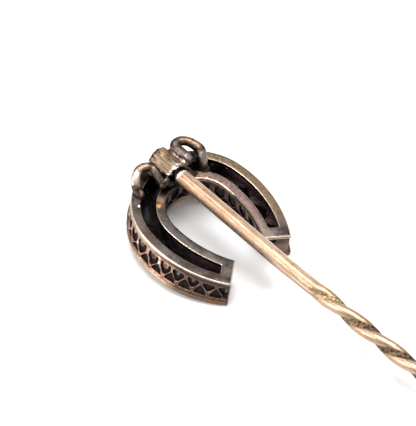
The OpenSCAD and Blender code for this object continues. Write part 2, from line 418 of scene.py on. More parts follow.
def metal(name, light, dark, patches=(), wear=None, rough=(0.34, 0.5), bump=0.5, metallic=1.0, patch_scale=0.9, extra=None, contrast=(0.35, 0.65), post=None, grain=None):
    """Tarnished metal: two tones mixed by patches, fine mottling, coloured spots and worn edges."""
    k = Nodes(name)
    big = k.noise(patch_scale, 4, 0.6, dist=0.4)
    vec = None
    if grain:
        m = k.t.nodes.new("ShaderNodeMapping")
        m.inputs["Scale"].default_value = grain
        k.link(k.p, m.inputs["Vector"])
        vec = m.outputs[0]
    fine = k.noise(7.0, 4, 0.65, vec=vec)
    grit = k.noise(22.0, 2, 0.6, vec=vec)
    f = k.ramp(k.math("ADD", k.math("MULTIPLY", big, 0.7), k.math("MULTIPLY", fine, 0.3)), contrast[0], contrast[1])
    col = k.mix(f, dark, light)
    r = k.ramp(k.math("ADD", k.math("MULTIPLY", fine, 0.6), k.math("MULTIPLY", grit, 0.4)), 0.3, 0.7, rough[0], rough[1])
    for c, rad, colour, amount in patches:
        s = k.math("MULTIPLY", k.spot(c, rad), amount)
        col = k.mix(s, col, colour)
    if extra:
        col, r = extra(k, col, r)
    speck = k.ramp(k.noise(13.0, 3, 0.7, off=(3, 7, 1)), 0.62, 0.72)
    col = k.mix(k.math("MULTIPLY", speck, 0.35), col, tuple(x * 0.35 for x in dark))
    if wear is not None:
        at = k.attr("wear")
        # grime in the grooves and on the cut sides of the openings
        col = k.mix(k.math("MULTIPLY", k.math("MULTIPLY", at, -1.0, clamp=True), 0.85), col, lin(22, 15, 15))
        w = k.math("MULTIPLY", k.math("MAXIMUM", at, 0.0), k.ramp(k.noise(2.2, 3, 0.6, off=(9, 2, 4)), 0.25, 0.5, 0.5, 1.0))
        col = k.mix(w, col, wear)
        r = k.math("SUBTRACT", r, k.math("MULTIPLY", w, 0.12))
    if post:
        col = post(k, col)
    k.put(k.bsdf.inputs["Base Color"], col)
    k.bsdf.inputs["Metallic"].default_value = metallic
    k.put(k.bsdf.inputs["Roughness"], r)
    h = k.math("ADD", k.math("MULTIPLY", fine, 0.6), k.math("MULTIPLY", grit, 0.25))
    h = k.math("ADD", h, k.math("MULTIPLY", k.noise(2.0, 2, 0.5, off=(1, 1, 8)), 0.9))
    k.put(k.bsdf.inputs["Normal"], k.bump(h, bump, 0.00004))
    return k.mat


ROSE = lin(236, 190, 160)
GOLD = lin(214, 160, 84)


def heel_tone(k, col, dark, at=(-0.2, -2.4), amount=0.95):
    """Darker, mauve metal from a point of the limb down to the heel, and again towards the toe."""
    y = k.xyz.outputs[1]
    y = k.math("ADD", y, k.math("MULTIPLY", k.math("SUBTRACT", k.noise(1.4, 3, 0.6, off=(3, 3, 3)), 0.5), 1.6))
    f = k.math("MULTIPLY", k.ramp(y, at[0], at[1]), amount)
    g = k.math("MULTIPLY", k.ramp(y, 2.8, 4.6), amount * 0.5)
    return k.mix(k.math("MAXIMUM", f, g), col, dark)


def plate_extra(k, col, r):
    # the right outer rail is worn to a golden bronze, the inner rail beside it is rosier
    x, y, z = k.xyz.outputs
    rad = k.math("SQRT", k.math("ADD", k.math("MULTIPLY", x, x), k.math("MULTIPLY", k.math("SUBTRACT", y, 1.6), k.math("SUBTRACT", y, 1.6))))
    rad = k.math("SUBTRACT", rad, k.math("MULTIPLY", k.math("MAXIMUM", k.math("MULTIPLY", y, -1.0), 0.0), 0.25))
    right = k.math("MULTIPLY", k.ramp(x, 1.6, 3.0), k.ramp(y, 7.4, 5.2))
    rosy = k.math("MULTIPLY", right, k.ramp(rad, 4.6, 4.3))
    col = k.mix(k.math("MULTIPLY", rosy, k.ramp(k.noise(3.0, 4, 0.7, off=(6, 2, 2)), 0.38, 0.58, 0.25, 0.95)), col, lin(124, 99, 95))
    bronze = k.math("MULTIPLY", right, k.ramp(rad, 4.5, 4.9))
    bronze = k.math("MULTIPLY", bronze, k.ramp(y, -4.4, -2.6))
    streak = k.noise(5.0, 4, 0.7, off=(4, 8, 2))
    col = k.mix(k.math("MULTIPLY", bronze, k.ramp(streak, 0.35, 0.6, 0.3, 0.95)), col, lin(112, 95, 74))
    # painted shade: near-black spots on the plate inside both loops and under the tube's mouth
    for c, rad in (((-1.25, 6.78, 0.0), 0.5), ((-1.4, 6.35, 0.0), 0.4), (unproject(170, 191), 0.6), (unproject(176, 187), 0.45), (unproject(195, 157), 0.62), (unproject(190, 162), 0.5), (unproject(198, 165), 0.45), (unproject(201, 158), 0.35)):
        col = k.mix(k.math("MULTIPLY", k.spot(c, rad, soft=0.8, breakup=0.25), 0.96), col, lin(22, 16, 17))
    # the plate's edge below its rounding
    edge = k.ramp(z, -0.1, -0.16)
    col = k.mix(k.math("MULTIPLY", edge, 0.8), col, heel_tone(k, lin(176, 112, 80), lin(46, 35, 31)))
    # painted shade: towards the gap the edge is dark
    rin = k.math("SQRT", k.math("ADD", k.math("MULTIPLY", x, x), k.math("MULTIPLY", k.math("SUBTRACT", y, YI), k.math("SUBTRACT", y, YI))))
    gap = k.math("MULTIPLY", k.ramp(rin, 4.05, 3.9), k.ramp(z, -0.03, -0.1))
    col = k.mix(gap, col, lin(44, 34, 31))
    # fine scratches along the rails
    sc = k.ramp(k.noise(16.0, 3, 0.75, off=(2, 2, 6)), 0.58, 0.7, 0.0, 0.5)
    col = k.mix(sc, col, lin(150, 136, 126))
    return col, r


def plate_post(k, col):
    x, y, z = k.xyz.outputs
    # painted shade: the lower part of the plate's edge and the groove under it are dark, most towards the heels
    low = k.math("MULTIPLY", k.ramp(z, -0.22, -0.26), k.ramp(k.noise(4.0, 3, 0.6, off=(2, 9, 2)), 0.35, 0.55, 0.6, 0.95))
    low = k.math("MULTIPLY", low, k.ramp(y, 1.6, 0.6, 0.4, 1.0))
    col = k.mix(low, col, lin(40, 27, 24))
    # painted shade: towards the gap the left limb's edge is dark
    toe = k.math("SUBTRACT", k.math("SQRT", k.math("ADD", k.math("MULTIPLY", x, x), k.math("MULTIPLY", k.math("SUBTRACT", y, 1.43), k.math("SUBTRACT", y, 1.43)))), 2.94)
    dx, dy = k.math("SUBTRACT", x, 7.87), k.math("SUBTRACT", y, 0.99)
    limb = k.math("SUBTRACT", k.math("SQRT", k.math("ADD", k.math("MULTIPLY", dx, dx), k.math("MULTIPLY", dy, dy))), 10.82)
    low_part = k.ramp(y, 1.3, 1.1)
    off = k.math("ADD", k.math("MULTIPLY", limb, low_part), k.math("MULTIPLY", toe, k.math("SUBTRACT", 1.0, low_part)))
    gap = k.math("MULTIPLY", k.ramp(off, 0.2, 0.1), k.ramp(x, 0.6, 0.2))
    col = k.mix(k.math("MULTIPLY", gap, 0.85), col, lin(54, 44, 42))
    # and painted shade on the right limb's edge towards the gap, from its middle down
    dx = k.math("ADD", x, 7.87)
    limb = k.math("SUBTRACT", k.math("SQRT", k.math("ADD", k.math("MULTIPLY", dx, dx), k.math("MULTIPLY", dy, dy))), 10.82)
    gap = k.math("MULTIPLY", k.math("MULTIPLY", k.ramp(limb, 0.22, 0.12), k.ramp(x, 1.4, 2.0)), k.ramp(y, 1.3, 0.2))
    col = k.mix(k.math("MULTIPLY", gap, 0.85), col, lin(66, 52, 47))
    mid = k.math("MULTIPLY", k.ramp(z, -0.09, -0.13), k.ramp(x, 1.0, -1.0))
    dim = heel_tone(k, col, lin(60, 46, 41), at=(0.8, -1.6), amount=0.85)
    return k.mix(mid, col, dim)


plate_mat = metal(
    "plate_metal", lin(88, 80, 76), lin(44, 39, 38),
    patches=[
        (unproject(176, 244), 1.6, lin(84, 78, 76), 0.6),
        (unproject(200, 262), 1.2, lin(84, 76, 72), 0.5),
        (unproject(164, 232), 0.8, lin(72, 70, 74), 0.7),
        (unproject(235, 212), 1.5, lin(128, 108, 98), 0.7),
        (unproject(255, 226), 1.0, lin(130, 108, 100), 0.7),
        (unproject(150, 240), 1.2, lin(66, 55, 53), 0.8),
        (unproject(185, 275), 1.6, lin(56, 46, 45), 0.8),
        (unproject(158.5, 206), 0.22, lin(190, 126, 52), 0.9),
        (unproject(160, 200), 0.34, lin(124, 92, 62), 0.7),
        (unproject(203, 173), 0.36, lin(150, 116, 62), 0.7),
        (unproject(196, 173), 0.40, lin(120, 92, 60), 0.7),
        # painted glint: a small near-white spot on the rail right of the stem
        (unproject(207, 178), 0.12, lin(240, 214, 150), 0.9),
        (unproject(213, 182), 0.4, lin(84, 68, 56), 0.7),
        (unproject(266, 230), 0.36, lin(150, 106, 90), 0.6),
        (unproject(262, 236), 1.1, lin(118, 108, 104), 0.7),
        (unproject(140, 222), 1.1, lin(80, 68, 62), 0.6),
        # painted glint: a small near-white spot on the left outer rail
        (unproject(139, 206), 0.1, lin(255, 250, 245), 0.9),
    ],
    wear=lin(250, 226, 204), rough=(0.32, 0.48), bump=0.55, extra=plate_extra, contrast=(0.38, 0.62), post=plate_post)


def gallery_extra(k, col, r):
    x, y, z = k.xyz.outputs
    # a darker strip under the back plate, broad dirty tongues
    top = k.ramp(z, -1.0, -0.7)
    col = k.mix(k.math("MULTIPLY", top, 0.35), col, lin(120, 92, 84))
    for s in (-10.96, -9.59, -8.22):
        px, py, _t = along(s, OUTER, -0.05)
        col = k.mix(k.spot((px, py, -1.16), 0.26, soft=0.85, breakup=0.05), col, lin(66, 48, 50))
    return col, r


def gallery_post(k, col):
    # browner metal in broad soft bands, and dark towards the heels
    x, y, z = k.xyz.outputs
    v = k.ramp(k.noise(1.6, 3, 0.6, off=(8, 1, 5)), 0.42, 0.62)
    col = k.mix(k.math("MULTIPLY", v, 0.6), col, lin(112, 82, 74))
    low = k.math("MULTIPLY", k.ramp(z, -2.1, -2.4), 0.35)
    col = k.mix(low, col, lin(90, 68, 62))
    brown = k.mix(k.ramp(k.noise(5.0, 3, 0.6), 0.4, 0.6), lin(50, 38, 34), lin(88, 70, 62))
    col = k.mix(k.ramp(k.attr("wear"), 0.28, 0.6, 1.0, 0.45), col, heel_tone(k, col, brown, amount=0.93))
    # painted shade: a dark line under the plate's edge, from the heel to the middle of the limb
    line = k.math("MULTIPLY", k.ramp(z, -0.66, -0.54), k.ramp(y, 1.4, 0.6))
    col = k.mix(k.math("MULTIPLY", line, k.ramp(k.noise(6.0, 3, 0.6, off=(1, 4, 4)), 0.35, 0.5, 0.5, 0.95)), col, lin(38, 24, 20))
    # bright crossings, painted highlights on worn metal, darker spots beside them, and one red spot
    for q, zz, rad, c in ((-10.96, -1.12, 0.22, (84, 66, 66)), (-9.62, -1.1, 0.3, (44, 30, 38)), (-9.4, -1.3, 0.2, (50, 36, 42)), (-8.3, -1.1, 0.3, (48, 28, 32)),
                          (-10.27, -1.3, 0.22, (255, 232, 205)), (-10.2, -0.85, 0.22, (240, 206, 180)), (-9.72, -2.15, 0.18, (250, 232, 205)), (-8.85, -1.3, 0.2, (176, 104, 106)), (-7.5, -1.6, 0.22, (236, 196, 186))):
        px, py, _t = along(q, OUTER, 0.0)
        col = k.mix(k.math("MULTIPLY", k.spot((px, py, zz), rad, soft=0.5, breakup=0.15), 0.85), col, lin(*c))
    # painted shade: black spots stand for the broken opening at the ragged end beside the left heel
    for q, zz, rad in ((-16.5, -1.05, 0.38), (-16.6, -1.7, 0.36), (-16.4, -1.4, 0.25)):
        px, py, _t = along(q, OUTER, 0.02)
        col = k.mix(k.spot((px, py, zz), rad, soft=0.85, breakup=0.25), col, lin(10, 8, 8))
    return col


gallery_mat = metal(
    "gallery_metal", lin(178, 138, 116), lin(92, 69, 61),
    wear=lin(214, 174, 148), rough=(0.26, 0.42), bump=0.5, extra=gallery_extra, contrast=(0.4, 0.6), post=gallery_post)
# painted shade: the inner wall's metal is a darker copy of the gallery metal
shaded_inner_gallery_mat = metal(
    "inner_gallery_metal_shaded", lin(92, 68, 62), lin(40, 30, 29),
    wear=lin(104, 82, 74), rough=(0.4, 0.55), bump=0.6, contrast=(0.38, 0.6))


def rim_extra(k, col, r):
    x, y, z = k.xyz.outputs
    return col, r


def rim_post(k, col):
    x, y, z = k.xyz.outputs
    col = heel_tone(k, col, lin(80, 64, 56), at=(-0.4, -2.0), amount=0.85)
    return k.mix(k.math("MULTIPLY", k.ramp(y, -3.3, -4.6), 0.7), col, lin(120, 84, 62))


rim_mat = metal(
    "rim_metal", lin(164, 138, 110), lin(116, 92, 74), wear=lin(200, 170, 140),
    rough=(0.3, 0.44), bump=0.5, extra=rim_extra, post=rim_post)

def inside_extra(k, col, r):
    x, y, z = k.xyz.outputs
    # painted light: the inside of the right limb is lighter, as if lit through the slot
    painted_lit_side = k.math("MULTIPLY", k.ramp(y, 3.6, 1.8), k.ramp(x, 2.3, 3.0))
    col = k.mix(k.math("MULTIPLY", painted_lit_side, 0.9), col, k.mix(k.ramp(k.noise(3.0, 4, 0.7), 0.35, 0.65), lin(104, 82, 86), lin(160, 132, 134)))
    # painted shade: near black inside, towards the toe and the left loop
    col = k.mix(k.math("MULTIPLY", k.math("MULTIPLY", k.ramp(y, 1.5, 2.3), k.ramp(x, 1.5, 0.0)), 0.93), col, lin(10, 7, 8))
    lime = k.math("MULTIPLY", k.ramp(k.noise(6.0, 4, 0.75, off=(5, 1, 3)), 0.6, 0.7), k.ramp(y, 0.5, -1.5))
    col = k.mix(k.math("MULTIPLY", lime, 0.5), col, lin(120, 100, 92))
    # painted glints: white spots where light would come through the openwork
    for c in GLINTS:
        col = k.mix(k.spot(c, 0.12, soft=0.7, breakup=0.06), col, lin(255, 255, 255))
    return col, r


GLINTS = [(4.533, 4.513, -1.26), (5.082, 3.317, -1.1), (5.326, 2.068, -0.98)]
inside_mat = metal(
    "dark_inside", lin(96, 76, 80), lin(34, 27, 29), wear=lin(70, 56, 56), rough=(0.6, 0.85), bump=0.8, metallic=0.0, extra=inside_extra,
    post=lambda k, col: k.mix(k.math("MULTIPLY", k.attr("wear"), -1.0, clamp=True), col, k.mix(k.ramp(k.noise(4.0, 3, 0.6), 0.5, 0.65), lin(6, 5, 7), lin(34, 24, 26))))
inside_mat.node_tree.nodes["Principled BSDF"].inputs["Specular IOR Level"].default_value = 0.2


def tube_extra(k, col, r):
    x, y, z = k.xyz.outputs
    # streaks along the rolled tube
    v = k.t.nodes.new("ShaderNodeMapping")
    v.inputs["Scale"].default_value = (5.0, 0.5, 5.0)
    k.link(k.p, v.inputs["Vector"])
    st = k.noise(1.0, 4, 0.7, vec=v.outputs[0])
    on = k.math("MULTIPLY", k.ramp(k.math("ABSOLUTE", k.math("SUBTRACT", x, TUBE_X - 0.04)), 1.15, 0.9), k.ramp(y, 4.5, 4.8))
    col = k.mix(k.math("MULTIPLY", on, k.ramp(st, 0.4, 0.6, 0.25, 0.8)), col, k.mix(k.ramp(st, 0.42, 0.6), lin(142, 122, 100), lin(48, 42, 38)))
    gold = k.ramp(k.noise(1.0, 4, 0.7, vec=v.outputs[0], off=(4.0, 1.0, 2.0)), 0.54, 0.62)
    col = k.mix(k.math("MULTIPLY", k.math("MULTIPLY", on, gold), 0.6), col, lin(166, 124, 84))
    col = k.mix(k.math("MULTIPLY", on, k.ramp(st, 0.56, 0.64, 0.0, 0.8)), col, lin(26, 23, 24))
    # painted glints on the torn lip, which is also a little smoother
    lip_glint = k.math("MULTIPLY", k.ramp(k.math("ABSOLUTE", k.math("SUBTRACT", y, 4.82)), 0.34, 0.14), k.ramp(z, 1.1, 1.4))
    lip_glint = k.math("MULTIPLY", lip_glint, k.math("MULTIPLY", on, k.ramp(k.noise(6.0, 4, 0.75, off=(2, 7, 1)), 0.5, 0.57)))
    col = k.mix(k.math("MULTIPLY", lip_glint, 0.95), col, lin(244, 232, 222))
    r = k.math("SUBTRACT", r, k.math("MULTIPLY", lip_glint, 0.12))
    # the bore and the foot of the fittings are dark: dirt, and painted shade low down
    low = k.ramp(k.math("ADD", z, k.math("MULTIPLY", k.noise(3.0, 3, 0.6), 0.5)), 0.7, 0.25)
    col = k.mix(k.math("MULTIPLY", low, 0.58), col, lin(34, 26, 24))
    r = k.math("ADD", r, k.math("MULTIPLY", low, 0.2))
    return col, r


solder_mat = metal(
    "tube_and_loop_metal", lin(102, 88, 77), lin(48, 42, 39),
    patches=[
        (unproject(151, 160, 1.3), 0.5, lin(66, 60, 52), 0.7),
        (unproject(164, 153, 1.9), 0.46, lin(178, 138, 88), 0.7),
        (unproject(156, 155, 1.7), 0.3, lin(150, 122, 84), 0.7),
        (unproject(172, 158, 1.9), 0.3, lin(168, 122, 70), 0.6),
        (unproject(176, 154, 1.9), 0.34, lin(96, 92, 98), 0.7),
        (unproject(182, 161, 1.8), 0.34, lin(104, 96, 100), 0.7),
        # painted highlight on the left loop's outer side, painted light on its top
        (unproject(136, 178, 1.4), 0.75, lin(232, 200, 174), 0.9),
        (unproject(143, 168, 1.5), 0.5, lin(164, 132, 112), 0.75),
        (unproject(154, 170, 1.2), 0.34, lin(150, 132, 118), 0.7),
        # painted light on the right loop's top and right leg, a painted highlight on its inner leg
        (unproject(197, 142, 1.9), 0.5, lin(146, 122, 104), 0.65),
        (unproject(186, 139, 2.0), 0.6, lin(150, 116, 96), 0.6),
        (unproject(205, 157, 1.2), 0.7, lin(170, 160, 150), 0.75),
        (unproject(188, 156, 1.6), 0.34, lin(206, 186, 186), 0.65),
        # painted highlight and painted light on the left loop's foot
        (unproject(142, 193, 0.5), 0.26, lin(236, 190, 172), 0.9),
        (unproject(139, 195, 0.2), 0.36, lin(120, 98, 84), 0.8),
        (unproject(165, 184, 0.6), 0.6, lin(70, 61, 56), 0.85),
        (unproject(172, 184, 0.4), 0.5, lin(50, 42, 38), 0.85),
        (unproject(184, 166, 0.6), 0.4, lin(86, 74, 66), 0.8),
        # painted shade: near black inside the left loop and inside the right loop
        (unproject(146.5, 177, 0.9), 0.5, lin(20, 15, 15), 0.95),
        (unproject(196, 160, 0.4), 0.6, lin(30, 22, 24), 0.9),
    ],
    rough=(0.3, 0.46), bump=0.45, extra=tube_extra, patch_scale=1.1, grain=(1.0, 0.22, 1.0))


def stem_material():
    k = Nodes("stem_metal")
    # streaks run along the stem: the pattern is squeezed along Y
    v = k.t.nodes.new("ShaderNodeMapping")
    v.inputs["Scale"].default_value = (9.0, 0.14, 9.0)
    k.link(k.p, v.inputs["Vector"])
    streak = k.noise(1.6, 4, 0.65, vec=v.outputs[0])
    v2 = k.t.nodes.new("ShaderNodeMapping")
    v2.inputs["Scale"].default_value = (26.0, 0.7, 26.0)
    k.link(k.p, v2.inputs["Vector"])
    hair = k.noise(1.0, 3, 0.7, vec=v2.outputs[0])
    big = k.noise(0.5, 3, 0.6, dist=0.3)
    y = k.xyz.outputs[1]
    far = k.ramp(y, 5.0, -6.0, smooth=False)
    col = k.mix(far, k.mix(k.ramp(big, 0.35, 0.65), lin(146, 112, 92), lin(166, 132, 110)), k.mix(k.ramp(big, 0.35, 0.65), lin(172, 142, 116), lin(186, 158, 134)))
    # painted highlights and painted shade along the stem, broken up by the hairlines
    painted_light = k.math("ADD", k.attr("painted_light"), k.math("MULTIPLY", k.math("SUBTRACT", hair, 0.5), 0.5))
    col = k.mix(k.math("MULTIPLY", painted_light, -1.0, clamp=True), col, lin(70, 50, 40))
    col = k.mix(k.math("MULTIPLY", painted_light, 1.0, clamp=True), col, lin(250, 226, 200))
    col = k.mix(k.ramp(streak, 0.5, 0.62, 0.0, 0.45), col, lin(128, 94, 76))
    col = k.mix(k.ramp(hair, 0.56, 0.68, 0.0, 0.5), col, lin(92, 64, 50))
    # painted highlight on the cut edge where it enters the tube
    cut = k.math("MULTIPLY", k.ramp(y, 4.1, 4.24), k.ramp(y, 4.5, 4.4))
    col = k.mix(k.math("MULTIPLY", cut, k.ramp(k.noise(5.0, 3, 0.6, off=(3, 1, 5)), 0.4, 0.55, 0.0, 0.8)), col, lin(250, 230, 212))
    # darker where it goes into the tube: dirt, and painted shade in the mouth
    foot = k.ramp(k.math("ADD", y, k.math("MULTIPLY", k.noise(4.0, 3, 0.6, off=(2, 2, 2)), 0.25)), 4.42, 4.56)
    col = k.mix(foot, col, lin(26, 20, 20))
    # dirt and painted shade in the grooves of the twist, darker further along
    groove = k.attr("wear")
    deep = k.ramp(y, -12.8, -16.4, smooth=False)
    spots = k.ramp(k.noise(4.5, 4, 0.75, off=(1, 6, 2)), 0.4, 0.58)
    groove_dirt_and_shade = k.mix(deep, k.mix(spots, lin(96, 74, 50), lin(196, 168, 132)), k.mix(spots, lin(40, 32, 28), lin(122, 100, 80)))
    col = k.mix(k.math("MULTIPLY", groove, k.ramp(k.noise(5.0, 3, 0.6), 0.3, 0.5, 0.8, 1.0)), col, groove_dirt_and_shade)
    r = k.math("ADD", k.ramp(streak, 0.3, 0.7, 0.24, 0.38), k.math("MULTIPLY", groove, 0.2))
    k.put(k.bsdf.inputs["Base Color"], col)
    k.bsdf.inputs["Metallic"].default_value = 1.0
    k.put(k.bsdf.inputs["Roughness"], r)
    h = k.math("ADD", k.math("MULTIPLY", streak, 0.8), k.math("MULTIPLY", hair, 0.5))
    h = k.math("ADD", h, k.math("MULTIPLY", k.noise(4.0, 3, 0.6), 0.5))
    k.put(k.bsdf.inputs["Normal"], k.bump(h, 0.5, 0.00004))
    return k.mat


stem_mat = stem_material()


def stone_material():
    k = Nodes("stone")
    z = k.xyz.outputs[2]
    zone = k.noise(1.1, 2, 0.5)
    dust = k.noise(9.0, 3, 0.7)
    col = k.mix(k.ramp(zone, 0.35, 0.65), lin(44, 8, 14), lin(84, 14, 22))
    col = k.mix(k.ramp(dust, 0.6, 0.75, 0.0, 0.6), col, lin(30, 24, 24))
    # the backs are painted near black and rougher: dust, and painted shade of the setting
    back = k.ramp(z, -2.66, -2.6)
    col = k.mix(k.math("MULTIPLY", back, 0.93), col, lin(12, 8, 10))
    k.put(k.bsdf.inputs["Base Color"], col)
    k.put(k.bsdf.inputs["Roughness"], k.math("ADD", k.ramp(dust, 0.4, 0.7, 0.04, 0.3), k.math("MULTIPLY", back, 0.35)))
    k.bsdf.inputs["IOR"].default_value = 1.76
    k.put(k.bsdf.inputs["Normal"], k.bump(dust, 0.08, 0.00002))
    return k.mat


stone_mat = stone_material()

# ---------------------------------------------------------------- back plate
up = lambda x, y, z: (x, y, z)
EDGE = [(-0.12, 0.0, 0.0), (-0.085, -0.006, 0.5), (-0.045, -0.026, 1.0), (-0.012, -0.06, 1.0), (0.0, -0.085, 0.7),
        (-0.035, -0.1, -1.0), (-0.04, -0.165, -1.0), (-0.005, -0.18, 0.3), (0.018, -0.22, 0.7), (0.015, -0.28, 0.7),
        (-0.01, -0.31, 0.0), (-0.05, -0.33, -1.0), (-0.07, -0.4, -1.0)]
SLOT_EDGE = [(-0.07, 0.0, 0.0), (-0.05, -0.004, 0.35), (-0.02, -0.022, 0.9), (-0.004, -0.05, 0.6), (0.0, -0.085, 0.0), (0.0, -0.14, -1.0), (0.0, -0.3, -1.0), (-0.02, -0.4, -1.0)]

outline = band_loop(0.0, 0.0, 0.0, corner=0.1)
slot_loop = band_loop(-RAIL_W, RAIL_W, HEEL_W, corner=0.12)[::-1]
grid = np.array([(x, y) for x in np.arange(-6, 6.01, 0.3) for y in np.arange(-6.2, 7.6, 0.3)])
V, F, W, M = slab([outline, slot_loop], [EDGE, SLOT_EDGE], up, fill=grid, ids=(0, 0, 1))
back_plate = make("back_plate", V, F, [plate_mat, inside_mat], wear=W, mat_ids=M, smooth=50)

# ---------------------------------------------------------------- pierced walls
Z_TOP, Z_BOT = -0.36, -2.62
FILED = 2.36      # the right limb's inner corner is filed back to here


def half_arch(t):
    """Half width of an arch at t of its height, as a part of its half width at the rim."""
    return max(0.0, 1 - min(1.0, t) ** 1.5) ** 0.78


def arch(c, w, top, base, n=12):
    """Opening over the rim, round on top: counter-clockwise in (s, z)."""
    ts = np.sin(np.linspace(0, math.pi / 2, n))
    right = [(c + w * half_arch(t), base + (top - base) * t) for t in ts]
    left = [(c - w * half_arch(t), base + (top - base) * t) for t in ts[::-1][1:]]
    return right + left


def heart(c, hw, strut_at, bottom, apex, top, tw, tz, lean=0.0):
    """Opening under the back plate, pointed below between two arches. A tongue of half width tw
    hangs into it down to tz."""
    side = [(0.0, bottom)]
    for z in np.linspace(bottom + 0.05, apex + 0.02, 8):
        x = min(strut_at(z), hw, hw * ((z - bottom) / (apex + 0.12 - bottom)) ** 0.75)
        if x > 0.02:
            side.append((x, z))
    side += [(hw, apex + 0.14), (hw, top - 0.2), (hw - 0.04, top - 0.08), (hw - 0.14, top)]
    if tw > 0:
        side += [(min(tw + 0.07, hw - 0.16), top - 0.01), (tw, top - 0.09)]
        for a in np.linspace(0.25, math.pi / 2, 7):
            side.append((tw * math.cos(a) ** 0.7, top - 0.1 + (tz - top + 0.1) * math.sin(a)))
    else:
        side += [(0.0, top + 0.01)]
    right = [(c + x + lean * (y - top), y) for x, y in side]
    left = [(c - x + lean * (y - top), y) for x, y in side[::-1] if x > 1e-6]
    return right + left


def pierced(pitch, s_lim, seed, inner):
    """Openings of a wall unrolled to (s, z)."""
    r = np.random.default_rng(seed)
    holes = []
    apex_of = lambda q: float(np.interp(abs(q), [6, 7.8, 9, 10.3, 11.7, 13, 14.4, 15.8], [-1.85, -1.78, -1.62, -1.62, -1.45, -1.32, -1.28, -1.22])) if not inner else -1.75
    base_of = lambda q: float(np.interp(abs(q), [9, 10.3, 11.7, 13, 15.8], [-2.42, -2.34, -2.27, -2.2, -2.17])) if not inner else -2.36
    low_of = lambda q: float(np.interp(abs(q), [9, 10.3, 11.7, 13, 14.4, 15.1], [-2.1, -2.02, -1.9, -1.76, -1.66, -1.6])) if not inner else -2.1
    n = int(s_lim / pitch) + 2
    for k in range(-n, n + 1):
        j = r.uniform(-1, 1, 8)
        # lower arches
        c = (k + 0.5) * pitch + j[0] * 0.05
        w = 0.53 + j[1] * 0.02
        if abs(c) + w < s_lim - 0.06:
            holes.append(arch(c, w, apex_of(c) + 0.06 + j[2] * 0.04, base_of(c) - 0.04 + j[3] * 0.02))
        # upper hearts
        c = k * pitch + j[4] * 0.06
        hw = 0.545 + j[5] * 0.015
        over = abs(c) + hw + 0.05 - s_lim
        if over > 0:
            if over > 0.45:
                continue
            hw -= over / 2
            c -= math.copysign(over / 2, c)
        apex, base = apex_of(c), base_of(c)
        strut_at = lambda z: pitch / 2 - 0.11 - 0.53 * half_arch((z - base + 0.04) / (apex - base + 0.1))
        q = abs(k)
        if inner:
            tw, tz = (0.0, 0.0) if j[6] < 0.4 else (0.12, -1.05)
        elif q >= 11:
            tw, tz = 0.0, 0.0
        elif q in (9, 10):
            tw, tz = 0.14, -1.22 - 0.05 * (10 - q)
        elif q in (6, 7, 8):
            tw, tz = 0.3 - 0.02 * j[6], -1.4
        else:
            tw, tz = 0.15, -1.2
        top = -0.82 + j[7] * 0.025
        if inner:
            hw *= 0.84
            top = -0.66
        holes.append(heart(c, hw, strut_at, low_of(c) - 0.08 + j[2] * 0.04, apex, top, tw, tz, lean=0.03 * j[3]))
    return holes


def wall(name, curve, pitch, sign, seed, mats, flare_on):
    base = -WALL_IN if sign > 0 else WALL_IN
    se = s_end(curve, base, WALL_IN + 0.03)
    holes = pierced(pitch, se, seed, sign < 0)
    edge = resample([(-se, Z_BOT), (se, Z_BOT), (se, Z_TOP), (-se, Z_TOP)], 0.11)
    loops = [edge] + [resample(h, 0.09)[::-1] for h in holes]
    loops = [np.array(l) for l in loops]
    for i, l in enumerate(loops[1:], 1):
        x, y = l[:, 0], l[:, 1]
        area = 0.5 * np.sum(x * np.roll(y, -1) - np.roll(x, -1) * y)
        if area > 0:
            loops[i] = l[::-1]
    rnd = [(-0.045, 0.0, 0.35), (-0.02, 0.01, 0.7), (0.0, 0.045, 0.3), (0.0, 0.12, -1.0), (0.0, 0.2, -1.0), (0.0, WALL_T, -1.0)]
    flat = [(0.0, 0.0, 0.25), (0.0, 0.1, 0.0), (0.0, WALL_T, 0.0)]

    def fn(s, z, d):
        k = min(1.0, max(0.0, (-0.4 - z) / 2.1))
        o = base + (flare(s) * (0.25 * k + 0.75 * k * k) if flare_on else flare_in(s) * k) - sign * d
        x, y, _t = along(s, curve, o)
        if not flare_on and s > 8:
            x0, y0, _t = along(s, curve, base + flare_in(s) * k)
            x += max(0.0, FILED + 0.02 - x0) * min(1.0, max(0.0, (-y0 - 2.6) / 0.5))
        return x, y, z

    fill = np.array([(s + (0.05 if i % 2 else 0), z) for i, s in enumerate(np.arange(-se, se, 0.12)) for z in np.arange(Z_BOT + 0.06, Z_TOP, 0.12)])
    V, F, W, M = slab(loops, [flat] + [rnd] * len(holes), fn, fill=fill, ids=(0, 0, 1))
    # the dark packing behind the openwork, near black: packing and painted shade inside the setting
    n0 = len(V)
    cols = np.linspace(-se, se, int(2 * se / 0.15))
    lv = np.linspace(Z_BOT, Z_TOP, 8)
    for d in (WALL_T * 0.62, WALL_T * 1.1):
        for q in cols:
            for z in lv:
                V.append(fn(q, z, d + 0.03 * math.sin(q * 5.3 + z * 4) * math.sin(z * 3 + q)))
                W.append((-1.0 if sign > 0 else -0.8) if d < WALL_T else 0.0)
    nc, nz = len(cols), len(lv)
    for layer in (0, 1):
        o = n0 + layer * nc * nz
        for i in range(nc - 1):
            for j in range(nz - 1):
                F.append((o + i * nz + j, o + (i + 1) * nz + j, o + (i + 1) * nz + j + 1, o + i * nz + j + 1))
                M.append(1)
    o2 = nc * nz
    ringv = [n0 + j for j in range(nz)] + [n0 + i * nz + nz - 1 for i in range(1, nc)] + [n0 + (nc - 1) * nz + j for j in range(nz - 2, -1, -1)] + [n0 + i * nz for i in range(nc - 2, 0, -1)]
    for i in range(len(ringv)):
        p, q = ringv[i], ringv[(i + 1) % len(ringv)]
        F.append((p, q, q + o2, p + o2))
        M.append(1)
    return make(name, V, F, mats, wear=W, mat_ids=M, smooth=55)


outer_wall = wall("outer_gallery", OUTER, PITCH, 1, 11, [gallery_mat, inside_mat], True)
inner_wall = wall("inner_gallery", INNER, 1.33, -1, 12, [shaded_inner_gallery_mat, inside_mat], False)


